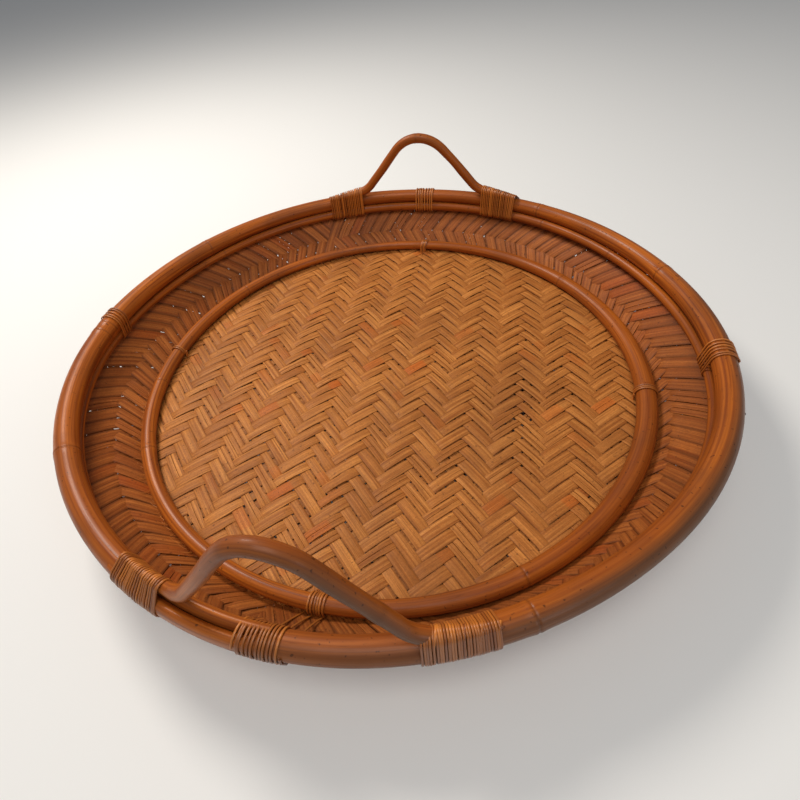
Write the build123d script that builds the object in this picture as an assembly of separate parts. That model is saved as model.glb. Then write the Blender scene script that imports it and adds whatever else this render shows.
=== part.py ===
# Large round woven bamboo tray with rattan hoops and two arched carrying handles.
# Millimetres, +Z up. The origin is the centre of the circle that the tray stands on.
# +Y points from the tray centre to the back handle; the front handle is at -Y.
from build123d import *
import math
import os

# ---- hoops: radius of the centre circle, height of the centre, radius of the pole
BASE_RADIUS = 205.0
BASE_POLE = 5.0
BASE_Z = 4.5
RING_RADIUS = 205.0
RING_POLE = 6.0
OUTER_HOOP_RADIUS = 242.5
OUTER_HOOP_POLE = 7.5
RIM_RISE = 39.6
INNER_HOOP_POLE = 4.5
INNER_HOOP_IN = 4.6
INNER_HOOP_DROP = 11.3
LOWER_HOOP_POLE = 3.0
LOWER_HOOP_OUT = 4.4
LOWER_HOOP_DROP = 9.8

# ---- woven mat of the floor
SPLIT_PITCH = 9.0
SPLIT_WIDTH = 8.0
SPLIT_THICK = 0.7
SPLIT_GAP = 0.14
SPLIT_END_INSET = 1.0
MAT_RADIUS = 208.5
MAT_TURN = 45.0

# ---- woven band of the wall
BAND_THICK = 1.2
BAND_FLANGE_RADIUS = 200.0
BAND_BEND_RADIUS = 208.5
BAND_TOP_BEND_DROP = 16.0
BAND_TOP_DROP = 7.6
BAND_TOP_RADIUS = 243.2
BAND_TOP_LEAN = 0.1

# ---- handles: the rod lies on top of the outer hoop at each end
ROD_RADIUS = 4.5
FOOT_RADIUS = 239.0
FOOT_RISE = 11.6
FOOT_ANGLE = 15.0
ROD_END_ANGLE = 26.0
BACK_HANDLE = {"apex": 226.6, "slope": 50.1, "crown": 32.6, "flare": 20.0, "turn": 1.4}
FRONT_HANDLE = {"apex": 229.4, "slope": 54.8, "crown": 23.8, "flare": 24.0, "turn": 181.3}

# ---- cane lashings
CANE_THICK = 1.1
CANE_WIDTH = 1.3
CANE_CLEAR = 0.12
HANDLE_WRAP_START = 16.0
HANDLE_WRAP_END = 25.4
RING_WRAP_PITCH = 1.9
NOTCH_DEPTH = 2.2
NOTCH_CORNER = 1.5
NOTCH_SIDE_CLEAR = 1.0
NAIL_ANGLE = -13.0
NAIL_RADIUS = 0.8
NAIL_LENGTH = 9.0

# ---- heights that follow from the stack: base hoop, band flange, mat, floor ring, rim
LAYER_CLEAR = 0.1
FLANGE_BOTTOM = BASE_Z + BASE_POLE + LAYER_CLEAR
FLANGE_TOP = FLANGE_BOTTOM + BAND_THICK
MAT_HALF = SPLIT_THICK + SPLIT_GAP / 2
MAT_Z = FLANGE_TOP + LAYER_CLEAR + MAT_HALF
RING_Z = MAT_Z + MAT_HALF + LAYER_CLEAR + RING_POLE
RIM_Z = RING_Z + RIM_RISE
INNER_HOOP_RADIUS = OUTER_HOOP_RADIUS - INNER_HOOP_IN
INNER_HOOP_Z = RIM_Z - INNER_HOOP_DROP
LOWER_HOOP_RADIUS = OUTER_HOOP_RADIUS + LOWER_HOOP_OUT
LOWER_HOOP_Z = RIM_Z - LOWER_HOOP_DROP
FOOT_Z = RIM_Z + FOOT_RISE
LASHING_LOW_Z = NOTCH_DEPTH + NOTCH_CORNER + CANE_CLEAR

# ---- short rim wraps: middle angle, turns, pitch
RIM_WRAPS = {
    "front": (-92.5, 12, 2.15),
    "right": (-0.5, 6, 3.0),
    "back": (91.0, 8, 2.6),
    "left": (181.5, 5, 3.0),
}
# ---- floor ring lashings: middle angle, turns
RING_LASHINGS = {"front": (-90.0, 6), "right": (0.0, 3), "back": (90.0, 4), "left": (180.0, 2)}
# ---- handle wraps: angle of the handle, side of it, turns
HANDLE_WRAPS = {
    "front_left": (-90.2, -1, 16),
    "front_right": (-89.8, 1, 22),
    "back_left": (91.4, 1, 16),
    "back_right": (91.4, -1, 16),
}


def save(shape, node):
    """Write one node of the assembly."""
    export_step(shape, f"parts/{node}.step")


def section_circle(radius, height, pole):
    """Round section of a hoop in the XZ plane."""
    return Plane.XZ * (Pos(radius, height) * Circle(pole))


def hoop(radius, height, pole):
    """A pole bent into a full circle."""
    return revolve(section_circle(radius, height, pole), Axis.Z)


def hull_of(circles):
    """Face that a taut strand would enclose round the given round sections."""
    edges = [Pos(radius, height) * Edge.make_circle(pole) for radius, height, pole in circles]
    return Face(Wire(make_hull(edges).wire().edges()))


def turns_round(outline, angle_middle, pitch_angle, turns, reach_radius):
    """Turns of cane round an outline in the (radius, height) plane, as separate closed loops."""
    inner = offset(outline, CANE_CLEAR)
    outer = offset(outline, CANE_CLEAR + CANE_THICK)
    section = Plane.XZ * (outer - inner)
    width_angle = math.degrees(CANE_WIDTH / reach_radius)
    first = angle_middle - pitch_angle * (turns - 1) / 2 - width_angle / 2
    loop = revolve(section, Axis.Z, width_angle)
    return [Rot(0, 0, first + pitch_angle * number) * loop for number in range(turns)]


def mat_splits(lengthwise, lashing_holes):
    """One of the two sets of splits of the mat, each split a separate flat solid."""
    count = int(MAT_RADIUS // SPLIT_PITCH)
    level = (SPLIT_THICK + SPLIT_GAP) / 2
    height = MAT_Z + level if lengthwise else MAT_Z - level
    holes = [Rot(0, 0, -MAT_TURN) * hole for hole in lashing_holes]
    hole_boxes = [hole.bounding_box() for hole in holes]
    splits = []
    for index in range(-count, count + 1):
        place = index * SPLIT_PITCH
        edge_place = min(abs(place) + SPLIT_WIDTH / 2, MAT_RADIUS - SPLIT_END_INSET)
        length = 2 * math.sqrt(MAT_RADIUS**2 - edge_place**2)
        if lengthwise:
            split = Pos(place, 0, height) * Box(SPLIT_WIDTH, length, SPLIT_THICK)
        else:
            split = Pos(0, place, height) * Box(length, SPLIT_WIDTH, SPLIT_THICK)
        split_box = split.bounding_box()
        near = [hole for hole, box in zip(holes, hole_boxes) if boxes_touch(split_box, box)]
        if near:
            split = split - near
        splits.extend((Rot(0, 0, MAT_TURN) * split).solids())
    return splits


def boxes_touch(a, b):
    """True where two bounding boxes overlap, seen from above."""
    apart_x = a.max.X < b.min.X or b.max.X < a.min.X
    apart_y = a.max.Y < b.min.Y or b.max.Y < a.min.Y
    return not (apart_x or apart_y)


def rounded_path(corners, radii):
    """Wire through the corners, each inner corner rounded by a tangent arc."""
    points = [Vector(*corner) for corner in corners]
    edges = []
    start = points[0]
    for before, corner, after, radius in zip(points, points[1:], points[2:], radii):
        arrive = (corner - before).normalized()
        leave = (after - corner).normalized()
        half_turn = math.radians(arrive.get_angle(leave)) / 2
        reach = radius * math.tan(half_turn)
        arc_start = corner - arrive * reach
        arc_end = corner + leave * reach
        inward = (leave - arrive).normalized()
        arc_middle = corner + inward * (radius / math.cos(half_turn) - radius)
        edges.append(Edge.make_line(start, arc_start))
        edges.append(Edge.make_three_point_arc(arc_start, arc_middle, arc_end))
        start = arc_end
    edges.append(Edge.make_line(start, points[-1]))
    return Wire(edges)


def on_rim(angle_from_handle, radius, height):
    """Point at an angle from the +Y axis, towards +X."""
    turn = math.radians(angle_from_handle)
    return (radius * math.sin(turn), radius * math.cos(turn), height)


def handle(apex, slope, crown, flare, turn):
    """A bent rod: ends along the rim, flared feet, straight legs that lean inwards and a round crown."""
    foot = on_rim(FOOT_ANGLE, FOOT_RADIUS, FOOT_Z)
    meet = (0, apex, FOOT_Z + foot[0] * math.tan(math.radians(slope)))
    half = [on_rim(ROD_END_ANGLE, FOOT_RADIUS, FOOT_Z), foot]
    other_half = [(-x, y, z) for x, y, z in reversed(half)]
    path = rounded_path(half + [meet] + other_half, [flare, crown, flare])
    end_plane = Plane(path @ 0, z_dir=path % 0)
    return Rot(0, 0, turn) * sweep(end_plane * Circle(ROD_RADIUS), path=path)


def band_profile():
    """Section of the woven band: flange under the mat, sloping wall and upright top edge."""
    path = Polyline(
        (BAND_FLANGE_RADIUS, FLANGE_BOTTOM + BAND_THICK / 2),
        (BAND_BEND_RADIUS, FLANGE_BOTTOM + BAND_THICK / 2),
        (BAND_TOP_RADIUS - BAND_TOP_LEAN, RIM_Z - BAND_TOP_BEND_DROP),
        (BAND_TOP_RADIUS, RIM_Z - BAND_TOP_DROP),
    )
    return Plane.XZ * trace(path, BAND_THICK)


os.makedirs("parts", exist_ok=True)

# ---- outlines that the lashings enclose, in the (radius, height) plane
rim_bundle = [
    (OUTER_HOOP_RADIUS, RIM_Z, OUTER_HOOP_POLE),
    (INNER_HOOP_RADIUS, INNER_HOOP_Z, INNER_HOOP_POLE),
    (LOWER_HOOP_RADIUS, LOWER_HOOP_Z, LOWER_HOOP_POLE),
]
rim_outline = hull_of(rim_bundle)
handle_outline = hull_of(rim_bundle + [(FOOT_RADIUS, FOOT_Z, ROD_RADIUS)])
ring_outline = hull_of([
    (RING_RADIUS, RING_Z, RING_POLE),
    (RING_RADIUS - BASE_POLE + NOTCH_CORNER, LASHING_LOW_Z, NOTCH_CORNER),
    (RING_RADIUS + BASE_POLE - NOTCH_CORNER, LASHING_LOW_Z, NOTCH_CORNER),
])

# ---- lashings, every turn a separate loop
rim_turns = {}
for side, (angle, turns, pitch) in RIM_WRAPS.items():
    pitch_angle = math.degrees(pitch / OUTER_HOOP_RADIUS)
    rim_turns[side] = turns_round(rim_outline, angle, pitch_angle, turns, OUTER_HOOP_RADIUS)
handle_turns = {}
for side, (angle, direction, turns) in HANDLE_WRAPS.items():
    middle = angle + direction * (HANDLE_WRAP_START + HANDLE_WRAP_END) / 2
    pitch_angle = (HANDLE_WRAP_END - HANDLE_WRAP_START) / turns
    handle_turns[side] = turns_round(handle_outline, middle, pitch_angle, turns, OUTER_HOOP_RADIUS)
ring_turns = {}
for side, (angle, turns) in RING_LASHINGS.items():
    pitch_angle = math.degrees(RING_WRAP_PITCH / RING_RADIUS)
    ring_turns[side] = turns_round(ring_outline, angle, pitch_angle, turns, RING_RADIUS)

for side, loops in rim_turns.items():
    save(Compound(children=loops), f"rim_wrap_{side}")
for side, loops in handle_turns.items():
    save(Compound(children=loops), f"handle_wrap_{side}")
for side, loops in ring_turns.items():
    save(Compound(children=loops), f"ring_lashing_{side}")

# ---- hoops
outer_hoop = hoop(OUTER_HOOP_RADIUS, RIM_Z, OUTER_HOOP_POLE)
nail_place = Rot(0, 0, NAIL_ANGLE) * Pos(OUTER_HOOP_RADIUS + OUTER_HOOP_POLE, 0, RIM_Z) * Rot(0, -90, 0)
nail = nail_place * extrude(Circle(NAIL_RADIUS), NAIL_LENGTH)
save(outer_hoop - nail, "rim_outer_hoop")
save(nail, "rim_nail")
save(hoop(INNER_HOOP_RADIUS, INNER_HOOP_Z, INNER_HOOP_POLE), "rim_inner_hoop")
save(hoop(LOWER_HOOP_RADIUS, LOWER_HOOP_Z, LOWER_HOOP_POLE), "rim_lower_hoop")
save(hoop(RING_RADIUS, RING_Z, RING_POLE), "floor_ring")

# ---- base hoop: planed flat underneath, with a notch for each ring lashing
ground_cut = Pos(0, 0, -BASE_POLE) * Box(3 * BASE_RADIUS, 3 * BASE_RADIUS, 2 * BASE_POLE)
base_hoop = hoop(BASE_RADIUS, BASE_Z, BASE_POLE) - ground_cut
for angle, turns in RING_LASHINGS.values():
    notch_width = (turns + 1) * RING_WRAP_PITCH + 2 * NOTCH_SIDE_CLEAR
    notch = Rot(0, 0, angle) * (Pos(BASE_RADIUS, 0, 0) * Box(4 * BASE_POLE, notch_width, 2 * NOTCH_DEPTH))
    base_hoop = base_hoop - notch
save(base_hoop, "base_ring")

# ---- woven mat and wall band, pierced where the cane passes through them
ring_loops = [loop for loops in ring_turns.values() for loop in loops]
rim_loops = [loop for group in (rim_turns, handle_turns) for loops in group.values() for loop in loops]
save(Compound(children=mat_splits(True, ring_loops)), "floor_splits_lengthwise")
save(Compound(children=mat_splits(False, ring_loops)), "floor_splits_crosswise")
band = revolve(band_profile(), Axis.Z)
save(band - ring_loops - rim_loops, "woven_wall_band")

# ---- handles
save(handle(**BACK_HANDLE), "handle_back")
save(handle(**FRONT_HANDLE), "handle_front")
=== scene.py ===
"""Large round woven bamboo tray: twill mat, herringbone wall, rattan hoops, cane lashings, two handles."""

import math

import bpy
import numpy as np
from mathutils import Matrix, Vector


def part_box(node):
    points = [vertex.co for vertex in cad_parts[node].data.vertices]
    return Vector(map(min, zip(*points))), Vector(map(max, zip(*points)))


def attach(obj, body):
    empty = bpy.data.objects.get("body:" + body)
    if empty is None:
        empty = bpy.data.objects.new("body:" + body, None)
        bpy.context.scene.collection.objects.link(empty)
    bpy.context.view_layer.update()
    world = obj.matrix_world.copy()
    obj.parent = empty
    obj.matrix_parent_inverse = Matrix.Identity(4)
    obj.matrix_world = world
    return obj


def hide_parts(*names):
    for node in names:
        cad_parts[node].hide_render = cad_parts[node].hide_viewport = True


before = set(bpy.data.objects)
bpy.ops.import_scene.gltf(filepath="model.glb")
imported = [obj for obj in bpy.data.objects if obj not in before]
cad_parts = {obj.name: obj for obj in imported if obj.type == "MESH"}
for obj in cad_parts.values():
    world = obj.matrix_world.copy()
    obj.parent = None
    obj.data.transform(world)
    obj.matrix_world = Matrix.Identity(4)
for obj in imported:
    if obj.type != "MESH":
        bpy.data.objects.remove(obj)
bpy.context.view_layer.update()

MM = 0.001
FULL = 2 * math.pi

# ---- sizes that the frame does not carry, in metres
SPLIT_PITCH = 9.0 * MM
SPLIT_THICK = 0.75 * MM
MAT_RADIUS = 208.5 * MM
MAT_TURN = math.radians(45)
FLOAT_CROSSINGS = 3
BAND_PITCH_COUNT = 116
BAND_SPLIT_THICK = 0.7 * MM
TAPER_START_ANGLE = 16.0
THIN_SHARE = 0.58
NOTCH_HEIGHT = 2.2 * MM
HOOP_STEPS = 420
TURN_STEPS = 56
BASE_POLE = 5.0 * MM
CANE_THICK = 1.0 * MM
FOOT_RADIUS = 239.0 * MM
FOOT_ANGLE = 15.0
ROD_END_ANGLE = 24.5
ROD_RADIUS = 4.5 * MM
HANDLE_SHAPES = {
    "handle_back": {"apex": 226.6, "slope": 50.1, "crown": 32.6, "flare": 20.0, "turn": 1.4},
    "handle_front": {"apex": 229.4, "slope": 54.8, "crown": 23.8, "flare": 24.0, "turn": 181.3},
}


def hoop_sizes(node):
    """Centre circle radius, centre height and pole radius of a hoop of the frame."""
    low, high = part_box(node)
    pole = (high[2] - low[2]) / 2
    return (high[0] - low[0]) / 2 - pole, (high[2] + low[2]) / 2, pole


RING_RADIUS, RING_Z, RING_POLE = hoop_sizes("floor_ring")
OUTER_RADIUS, OUTER_Z = hoop_sizes("rim_outer_hoop")[:2]
INNER_POLE = hoop_sizes("rim_inner_hoop")[2]
LOWER_RADIUS, LOWER_Z, LOWER_POLE = hoop_sizes("rim_lower_hoop")
# the clamp hoop is slim and pressed up against the rim pole, so it is drawn a little smaller than its solid
LOWER_SLIM = 1.0 * MM
LOWER_LIFT = 0.7 * MM
LOWER_RADIUS -= LOWER_SLIM
LOWER_POLE -= LOWER_SLIM
LOWER_Z += LOWER_LIFT
MAT_Z = (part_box("floor_splits_crosswise")[0][2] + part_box("floor_splits_lengthwise")[1][2]) / 2
FLANGE_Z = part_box("woven_wall_band")[0][2] + 0.6 * MM
BASE_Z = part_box("base_ring")[1][2] - BASE_POLE
FOOT_Z = OUTER_Z + 11.6 * MM


# ---------------------------------------------------------------- strands gathered into meshes
def round_section(sides):
    """Circle of diameter 1 as (across, up) points."""
    turn = np.arange(sides) * FULL / sides
    return np.stack([np.cos(turn), np.sin(turn)], 1) / 2


SPLIT_SECTION = np.array([
    (-0.5, -0.30), (-0.46, -0.5), (0.46, -0.5), (0.5, -0.30), (0.5, 0.26),
    (0.465, 0.45), (0.2, 0.5), (-0.2, 0.5), (-0.465, 0.45), (-0.5, 0.26),
])
CANE_SECTION = np.array([
    (-0.5, -0.15), (-0.36, -0.5), (0.36, -0.5), (0.5, -0.15),
    (0.40, 0.30), (0.15, 0.5), (-0.15, 0.5), (-0.40, 0.30),
])


def unit(vectors):
    """Rows scaled to length 1."""
    return vectors / np.maximum(np.linalg.norm(vectors, axis=-1, keepdims=True), 1e-12)


def turn_from(angle, middle):
    """Signed angle from a middle angle, between -pi and pi."""
    return (angle - middle + math.pi) % FULL - math.pi


def compass(turn):
    """Outward and sideways directions at an angle round the tray."""
    cosine, sine = math.cos(turn), math.sin(turn)
    return np.array([cosine, sine, 0.0]), np.array([-sine, cosine, 0.0])


def outward_ways(angles):
    """Outward directions at many angles, one row each."""
    return np.stack([np.cos(angles), np.sin(angles), np.zeros_like(angles)], 1)


class Strands:
    """Gathers strands into one mesh. Each keeps its lay (along, across, up) and its tone on the mesh."""

    def __init__(self):
        self.points = []
        self.quads = []
        self.quad_lay = []
        self.quad_tone = []
        self.caps = []
        self.cap_lay = []
        self.cap_tone = []
        self.count = 0

    def add(self, path, up, section, width, thick, tone, closed=False, across=None):
        """One strand swept along path. up is its thickness direction, tone three values or three a point."""
        path = np.asarray(path, float)
        number = len(path)
        if closed:
            tangent = np.roll(path, -1, 0) - np.roll(path, 1, 0)
        else:
            tangent = np.gradient(path, axis=0)
        tangent = unit(tangent)
        up = np.broadcast_to(np.asarray(up, float), path.shape)
        given = across is not None
        if not given:
            across = unit(np.cross(up, tangent))
            up = unit(np.cross(tangent, across))
        middle = number // 2
        if np.dot(np.cross(across[middle], up[middle]), tangent[middle]) < 0:
            across, up = (across, -up) if given else (-across, up)
        width = np.broadcast_to(np.asarray(width, float), (number,))
        thick = np.broadcast_to(np.asarray(thick, float), (number,))
        tone = np.broadcast_to(np.asarray(tone, float), (number, 3))
        side = section[None, :, 0] * width[:, None]
        rise = section[None, :, 1] * thick[:, None]
        places = path[:, None] + across[:, None] * side[..., None] + up[:, None] * rise[..., None]
        steps = np.linalg.norm(np.diff(path, axis=0), axis=1)
        along = np.concatenate([[0], np.cumsum(steps)]) + self.count * 0.00137
        sides = len(section)
        if closed:
            last_step = np.linalg.norm(path[0] - path[-1])
            along = np.append(along, along[-1] + last_step)
            side = np.vstack([side, side[:1]])
            rise = np.vstack([rise, rise[:1]])
            tone = np.vstack([tone, tone[:1]])
        rings = number if closed else number - 1
        i = np.repeat(np.arange(rings), sides)
        j = np.tile(np.arange(sides), rings)
        next_i = (i + 1) % number
        next_j = (j + 1) % sides
        near, far = i * sides, next_i * sides
        corners = np.stack([near + j, near + next_j, far + next_j, far + j], 1)
        self.quads.append(corners + self.count)
        ring_of = np.stack([i, i, i + 1, i + 1], 1)
        side_of = np.stack([j, next_j, next_j, j], 1)
        lay = np.stack([along[ring_of], side[ring_of, side_of], rise[ring_of, side_of]], -1)
        self.quad_lay.append(lay.reshape(-1, 3))
        self.quad_tone.append(tone[ring_of].reshape(-1, 3))
        if not closed:
            for ring, order in ((0, range(sides - 1, -1, -1)), (number - 1, range(sides))):
                order = list(order)
                self.caps.append([self.count + ring * sides + k for k in order])
                flat = np.stack([np.full(sides, along[ring]), side[ring, order], rise[ring, order]], 1)
                self.cap_lay.append(flat)
                self.cap_tone.append(np.repeat(tone[ring][None], sides, 0))
        self.points.append(places.reshape(-1, 3))
        self.count += number * sides

    def make(self, name, material, replaced, sharp=35):
        """The gathered strands as one piece of the tray."""
        mesh = bpy.data.meshes.new(name)
        faces = np.concatenate(self.quads).tolist() + self.caps
        mesh.from_pydata(np.concatenate(self.points).tolist(), [], faces)
        lay = np.concatenate(self.quad_lay + self.cap_lay)
        tone = np.concatenate(self.quad_tone + self.cap_tone)
        for label, values in (("lay", lay), ("tone", tone)):
            attribute = mesh.attributes.new(label, "FLOAT_VECTOR", "CORNER")
            attribute.data.foreach_set("vector", values.astype(np.float32).ravel())
        mesh.polygons.foreach_set("use_smooth", np.ones(len(mesh.polygons), bool))
        mesh.set_sharp_from_angle(angle=math.radians(sharp))
        piece = bpy.data.objects.new(name, mesh)
        bpy.context.scene.collection.objects.link(piece)
        mesh.materials.append(material)
        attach(piece, "root")
        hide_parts(*replaced)
        return piece


def smooth_noise(values, seed, scale, octaves=2):
    """Gentle random wander of period about 1/scale, between about -1 and 1."""
    source = np.random.default_rng(seed + 100)
    total = np.zeros_like(values, dtype=float)
    for octave in range(octaves):
        phases = source.uniform(0, FULL, 3)
        rates = source.uniform(0.7, 1.4, 3) * scale * 2**octave
        for phase, rate in zip(phases, rates):
            total += np.sin(values * rate * FULL + phase) / (3 * 2**octave)
    return total


# ---------------------------------------------------------------- shader node groups and materials
def new_group(name, inputs, outputs):
    """Empty shader node group with named sockets."""
    group = bpy.data.node_groups.new(name, "ShaderNodeTree")
    for label, kind, value in inputs:
        socket = group.interface.new_socket(label, in_out="INPUT", socket_type=kind)
        if value is not None:
            socket.default_value = value
    for label, kind in outputs:
        group.interface.new_socket(label, in_out="OUTPUT", socket_type=kind)
    start = group.nodes.new("NodeGroupInput")
    end = group.nodes.new("NodeGroupOutput")
    return group, start, end


def add_node(tree, kind, links=None, **settings):
    """Node with its settings; links maps input names or numbers to sockets or values."""
    node = tree.nodes.new(kind)
    for key, value in settings.items():
        setattr(node, key, value)
    for key, value in (links or {}).items():
        if isinstance(value, bpy.types.NodeSocket):
            tree.links.new(value, node.inputs[key])
        else:
            node.inputs[key].default_value = value
    return node


def stretched(tree, vector, scale):
    """Vector scaled on each axis."""
    node = add_node(tree, "ShaderNodeVectorMath", {0: vector, 1: scale}, operation="MULTIPLY")
    return node.outputs[0]


def ramped(tree, value, low, high, out_low=0.0, out_high=1.0):
    """Value remapped from low..high to out_low..out_high, clamped."""
    return add_node(
        tree, "ShaderNodeMapRange",
        {"Value": value, "From Min": low, "From Max": high, "To Min": out_low, "To Max": out_high},
    ).outputs["Result"]


def math_node(tree, operation, a, b):
    """Two-value arithmetic."""
    return add_node(tree, "ShaderNodeMath", {0: a, 1: b}, operation=operation).outputs[0]


def mixed(tree, factor, a, b, blend="MIX"):
    """Colour mix."""
    node = add_node(tree, "ShaderNodeMix", data_type="RGBA", blend_type=blend)
    for key, value in ((0, factor), (6, a), (7, b)):
        if isinstance(value, bpy.types.NodeSocket):
            tree.links.new(value, node.inputs[key])
        else:
            node.inputs[key].default_value = value
    return node.outputs[2]


def tinted(tree, colour, mask, share, tint):
    """Colour moved towards a tint where the mask is high, by up to share."""
    return mixed(tree, math_node(tree, "MULTIPLY", mask, share), colour, tint)


def noise(tree, vector, scale, detail=3.0, roughness=0.55):
    """Noise value between 0 and 1."""
    return add_node(
        tree, "ShaderNodeTexNoise",
        {"Vector": vector, "Scale": scale, "Detail": detail, "Roughness": roughness},
    ).outputs["Fac"]


def tray_place(tree):
    """Place on the tray, in metres."""
    return add_node(tree, "ShaderNodeTexCoord").outputs["Object"]


def fibre_group():
    """Lengthwise plant fibres: broad streaks, fine fibres and short dark flecks."""
    group, start, end = new_group(
        "plant fibres",
        [("Lay", "NodeSocketVector", None), ("Fibre Size", "NodeSocketFloat", 1.0)],
        [("Streaks", "NodeSocketFloat"), ("Fibres", "NodeSocketFloat"), ("Flecks", "NodeSocketFloat")],
    )
    sized = add_node(
        group, "ShaderNodeVectorMath", {0: start.outputs["Lay"], "Scale": start.outputs["Fibre Size"]},
        operation="SCALE",
    ).outputs[0]
    streaks = noise(group, stretched(group, sized, (9, 520, 520)), 1.0, 3.0, 0.6)
    fibres = noise(group, stretched(group, sized, (40, 3200, 3200)), 1.0, 4.0, 0.65)
    flecks = noise(group, stretched(group, sized, (110, 1500, 1500)), 1.0, 2.0, 0.5)
    group.links.new(streaks, end.inputs["Streaks"])
    group.links.new(fibres, end.inputs["Fibres"])
    group.links.new(ramped(group, flecks, 0.66, 0.74), end.inputs["Flecks"])
    return group


def age_group():
    """Stains, handling wear and dust that lie over the whole tray."""
    group, start, end = new_group(
        "age and handling",
        [("Stain Size", "NodeSocketFloat", 14.0)],
        [("Stains", "NodeSocketFloat"), ("Patches", "NodeSocketFloat"), ("Specks", "NodeSocketFloat")],
    )
    place = tray_place(group)
    stains = noise(group, place, start.outputs["Stain Size"], 4.0, 0.6)
    patches = noise(group, stretched(group, place, (1.0, 1.0, 2.0)), 5.5, 2.0, 0.5)
    specks = noise(group, place, 420.0, 1.0, 0.5)
    group.links.new(ramped(group, stains, 0.44, 0.70), end.inputs["Stains"])
    group.links.new(ramped(group, patches, 0.36, 0.64), end.inputs["Patches"])
    group.links.new(ramped(group, specks, 0.70, 0.76), end.inputs["Specks"])
    return group


FIBRES = fibre_group()
AGE = age_group()


def start_material(name, coat, coat_roughness, specular, sheen=0.0):
    """Material with its Principled shader and the lay, tone, fibre and age outputs ready."""
    material = bpy.data.materials.new(name)
    material.use_nodes = True
    tree = material.node_tree
    shader = tree.nodes["Principled BSDF"]
    shader.inputs["Coat Weight"].default_value = coat
    shader.inputs["Coat Roughness"].default_value = coat_roughness
    shader.inputs["Specular IOR Level"].default_value = specular
    shader.inputs["Sheen Weight"].default_value = sheen
    lay = add_node(tree, "ShaderNodeAttribute", attribute_name="lay").outputs["Vector"]
    tone = add_node(tree, "ShaderNodeAttribute", attribute_name="tone").outputs["Vector"]
    tone = add_node(tree, "ShaderNodeSeparateXYZ", {0: tone})
    place = add_node(tree, "ShaderNodeSeparateXYZ", {0: lay})
    fibres = add_node(tree, "ShaderNodeGroup", node_tree=FIBRES)
    tree.links.new(lay, fibres.inputs["Lay"])
    age = add_node(tree, "ShaderNodeGroup", node_tree=AGE)
    return material, tree, shader, tone, place, fibres, age


def bump(tree, shader, heights, distance):
    """Bump from a sum of weighted heights."""
    total = None
    for value, weight in heights:
        part = math_node(tree, "MULTIPLY", value, weight)
        total = part if total is None else math_node(tree, "ADD", total, part)
    node = add_node(tree, "ShaderNodeBump", {"Height": total, "Distance": distance, "Strength": 1.0})
    tree.links.new(node.outputs["Normal"], shader.inputs["Normal"])


def bamboo_material(name, light, deep, red, roughness):
    """Flat bamboo split: fibres along it, each split its own tone, redder floats, stains, and painted shade
    along its edges and where it passes under the other set.
    """
    material, tree, shader, tone, place, fibres, age = start_material(name, 0.03, 0.40, 0.15)
    colour = mixed(tree, ramped(tree, fibres.outputs["Streaks"], 0.34, 0.68), light, deep)
    colour = tinted(tree, colour, tone.outputs["X"], 0.62, deep)
    colour = tinted(tree, colour, tone.outputs["Y"], 0.75, red)
    fine = ramped(tree, fibres.outputs["Fibres"], 0.30, 0.72, 0.62, 1.22)
    fuzz = noise(tree, tray_place(tree), 900.0, 3.0, 0.6)
    fine = math_node(tree, "MULTIPLY", fine, ramped(tree, fuzz, 0.3, 0.7, 0.86, 1.14))
    fine = add_node(tree, "ShaderNodeCombineColor", {0: fine, 1: fine, 2: fine}).outputs[0]
    colour = mixed(tree, 1.0, colour, fine, "MULTIPLY")
    # painted shade along the split's edges, where it meets its neighbours
    edge = add_node(tree, "ShaderNodeMath", {0: place.outputs["Y"]}, operation="ABSOLUTE").outputs[0]
    edge = ramped(tree, edge, 3.5 * MM, 4.4 * MM, 0.0, 0.6)
    colour = mixed(tree, edge, colour, (0.12, 0.032, 0.008, 1))
    colour = tinted(tree, colour, age.outputs["Stains"], 0.34, (0.16, 0.055, 0.018, 1))
    colour = tinted(tree, colour, fibres.outputs["Flecks"], 0.45, (0.10, 0.035, 0.012, 1))
    colour = tinted(tree, colour, age.outputs["Specks"], 0.5, (0.05, 0.018, 0.008, 1))
    # painted shade where a split dives under the other set
    colour = tinted(tree, colour, tone.outputs["Z"], 0.85, (0.06, 0.022, 0.010, 1))
    tree.links.new(colour, shader.inputs["Base Color"])
    rough = ramped(tree, fibres.outputs["Fibres"], 0.2, 0.8, roughness - 0.09, roughness + 0.12)
    tree.links.new(rough, shader.inputs["Roughness"])
    bump(tree, shader, [(fibres.outputs["Streaks"], 0.8), (fibres.outputs["Fibres"], 0.5)], 0.00035)
    return material


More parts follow.
